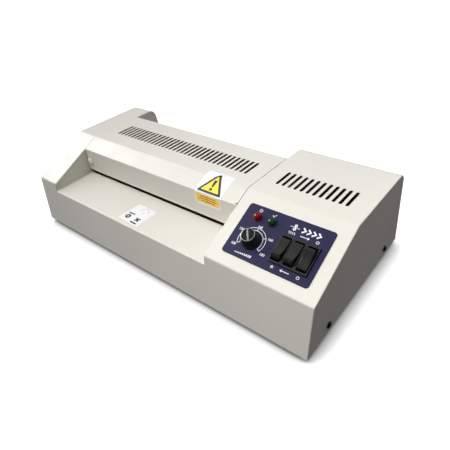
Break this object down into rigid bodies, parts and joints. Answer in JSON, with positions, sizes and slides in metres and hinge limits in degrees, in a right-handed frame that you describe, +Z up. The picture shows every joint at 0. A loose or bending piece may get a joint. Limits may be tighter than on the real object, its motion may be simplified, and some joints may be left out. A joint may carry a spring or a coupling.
{
  "type": "pouch laminator",
  "caption": "Desktop pouch laminator with a folded sheet casing, sprung geared rollers, heater shoes and a sloping control panel.",
  "frame": {"origin": "centre of the bounding box in plan, on the floor under the feet", "axes": "+X along the rollers towards the control box, +Y from the feed side to the exit side, +Z up"},
  "size_m": [0.3944, 0.1992, 0.0995],
  "materials": {
    "cream_paint": "fine-textured warm off-white powder coat, satin",
    "zinc_steel": "zinc plated sheet",
    "black_screw": "black oxide",
    "foot_rubber": "matt black rubber",
    "shaft_steel": "ground steel",
    "red_silicone": "matt red-brown silicone rubber",
    "gear_nylon": "natural nylon",
    "bush_plastic": "heat-resistant plastic",
    "spring_steel": "bright spring wire",
    "motor_metal": "plated can",
    "heater_aluminium": "extruded aluminium",
    "circuit_board": "green solder mask with black parts",
    "black_plastic": "moulded black plastic, satin",
    "panel_print": "navy printed polyester label, white print",
    "red_lens": "clear red lens",
    "green_lens": "clear green lens"
  },
  "bodies": {
    "root": {"base_pan": "zinc_steel", "casing_screw_left_front": "black_screw", "casing_screw_left_rear": "black_screw", "casing_screw_right_front": "black_screw", "casing_screw_right_rear": "black_screw", "control_board": "circuit_board", "cover_screw_left": "cream_paint", "cover_screw_right": "cream_paint", "drive_motor": "motor_metal", "foot_front_left": "foot_rubber", "foot_front_right": "foot_rubber", "foot_rear_left": "foot_rubber", "foot_rear_right": "foot_rubber", "front_tie_bar": "zinc_steel", "heater_shoe_lower": "heater_aluminium", "heater_shoe_upper": "heater_aluminium", "lamp_power": "red_lens", "lamp_ready": "green_lens", "lower_bush_front_left": "bush_plastic", "lower_bush_front_right": "bush_plastic", "lower_bush_rear_left": "bush_plastic", "lower_bush_rear_right": "bush_plastic", "mains_inlet": "black_plastic", "mid_cover": "cream_paint", "outer_casing": "cream_paint", "panel_label": "panel_print", "potentiometer": "motor_metal", "pressure_spring_front_left": "spring_steel", "pressure_spring_front_right": "spring_steel", "pressure_spring_rear_left": "spring_steel", "pressure_spring_rear_right": "spring_steel", "rear_tie_bar": "zinc_steel", "side_frame_left": "zinc_steel", "side_frame_right": "zinc_steel", "switch_housing_direction": "black_plastic", "switch_housing_mode": "black_plastic", "switch_housing_power": "black_plastic"},
    "front_lower_roller": {"roller_shaft_front_lower": "shaft_steel", "roller_sleeve_front_lower": "red_silicone", "roller_gear_front_lower": "gear_nylon"},
    "rear_lower_roller": {"roller_shaft_rear_lower": "shaft_steel", "roller_sleeve_rear_lower": "red_silicone", "roller_gear_rear_lower": "gear_nylon"},
    "front_float": {"upper_bush_front_left": "bush_plastic", "upper_bush_front_right": "bush_plastic"},
    "rear_float": {"upper_bush_rear_left": "bush_plastic", "upper_bush_rear_right": "bush_plastic"},
    "front_upper_roller": {"roller_shaft_front_upper": "shaft_steel", "roller_sleeve_front_upper": "red_silicone", "roller_gear_front_upper": "gear_nylon"},
    "rear_upper_roller": {"roller_shaft_rear_upper": "shaft_steel", "roller_sleeve_rear_upper": "red_silicone", "roller_gear_rear_upper": "gear_nylon"},
    "idler": {"idler_gear": "gear_nylon"},
    "pinion": {"motor_pinion": "shaft_steel"},
    "knob": {"temperature_knob": "black_plastic", "potentiometer_spindle": "shaft_steel"},
    "mode_rocker": {"rocker_mode": "black_plastic"},
    "direction_rocker": {"rocker_direction": "black_plastic"},
    "power_rocker": {"rocker_power": "black_plastic"}
  },
  "joints": [
    {"name": "front_lower_spin", "type": "hinge", "parent": "root", "child": "front_lower_roller", "pos_m": [0.095, -0.0217, 0.044], "axis": [1, 0, 0], "continuous": true},
    {"name": "rear_lower_spin", "type": "hinge", "parent": "root", "child": "rear_lower_roller", "pos_m": [0.095, 0.0343, 0.044], "axis": [1, 0, 0], "continuous": true},
    {"name": "front_nip_lift", "type": "slide", "parent": "root", "child": "front_float", "axis": [0, 0, 1], "range_m": [0, 0.001], "stiffness_N_per_m": 4000, "springref_m": -0.003, "deforming": ["pressure_spring_front_left", "pressure_spring_front_right"]},
    {"name": "rear_nip_lift", "type": "slide", "parent": "root", "child": "rear_float", "axis": [0, 0, 1], "range_m": [0, 0.001], "stiffness_N_per_m": 4000, "springref_m": -0.003, "deforming": ["pressure_spring_rear_left", "pressure_spring_rear_right"]},
    {"name": "front_upper_spin", "type": "hinge", "parent": "front_float", "child": "front_upper_roller", "pos_m": [0.095, -0.0217, 0.07], "axis": [1, 0, 0], "continuous": true},
    {"name": "rear_upper_spin", "type": "hinge", "parent": "rear_float", "child": "rear_upper_roller", "pos_m": [0.095, 0.0343, 0.07], "axis": [1, 0, 0], "continuous": true},
    {"name": "idler_spin", "type": "hinge", "parent": "root", "child": "idler", "pos_m": [0.095, 0.0063, 0.044], "axis": [1, 0, 0], "continuous": true},
    {"name": "pinion_spin", "type": "hinge", "parent": "root", "child": "pinion", "pos_m": [0.095, 0.0063, 0.065], "axis": [1, 0, 0], "continuous": true},
    {"name": "knob_turn", "type": "hinge", "parent": "root", "child": "knob", "pos_m": [0.1161, -0.0683, 0.08362], "axis": [0, -0.4347, 0.9006], "range_deg": [-152, 86]},
    {"name": "mode_rocker_tilt", "type": "hinge", "parent": "root", "child": "mode_rocker", "pos_m": [0.14615, -0.06351, 0.08038], "axis": [1, 0, 0], "range_deg": [0, 28]},
    {"name": "direction_rocker_tilt", "type": "hinge", "parent": "root", "child": "direction_rocker", "pos_m": [0.15865, -0.06351, 0.08038], "axis": [1, 0, 0], "range_deg": [0, 28]},
    {"name": "power_rocker_tilt", "type": "hinge", "parent": "root", "child": "power_rocker", "pos_m": [0.17115, -0.06351, 0.08038], "axis": [1, 0, 0], "range_deg": [-28, 0]}
  ],
  "couplings": [
    {"joint": "front_upper_spin", "follows": "front_lower_spin", "ratio": -1},
    {"joint": "rear_lower_spin", "follows": "front_lower_spin", "ratio": 1},
    {"joint": "rear_upper_spin", "follows": "front_lower_spin", "ratio": -1},
    {"joint": "idler_spin", "follows": "front_lower_spin", "ratio": -0.86667},
    {"joint": "pinion_spin", "follows": "front_lower_spin", "ratio": 2.1667}
  ]
}
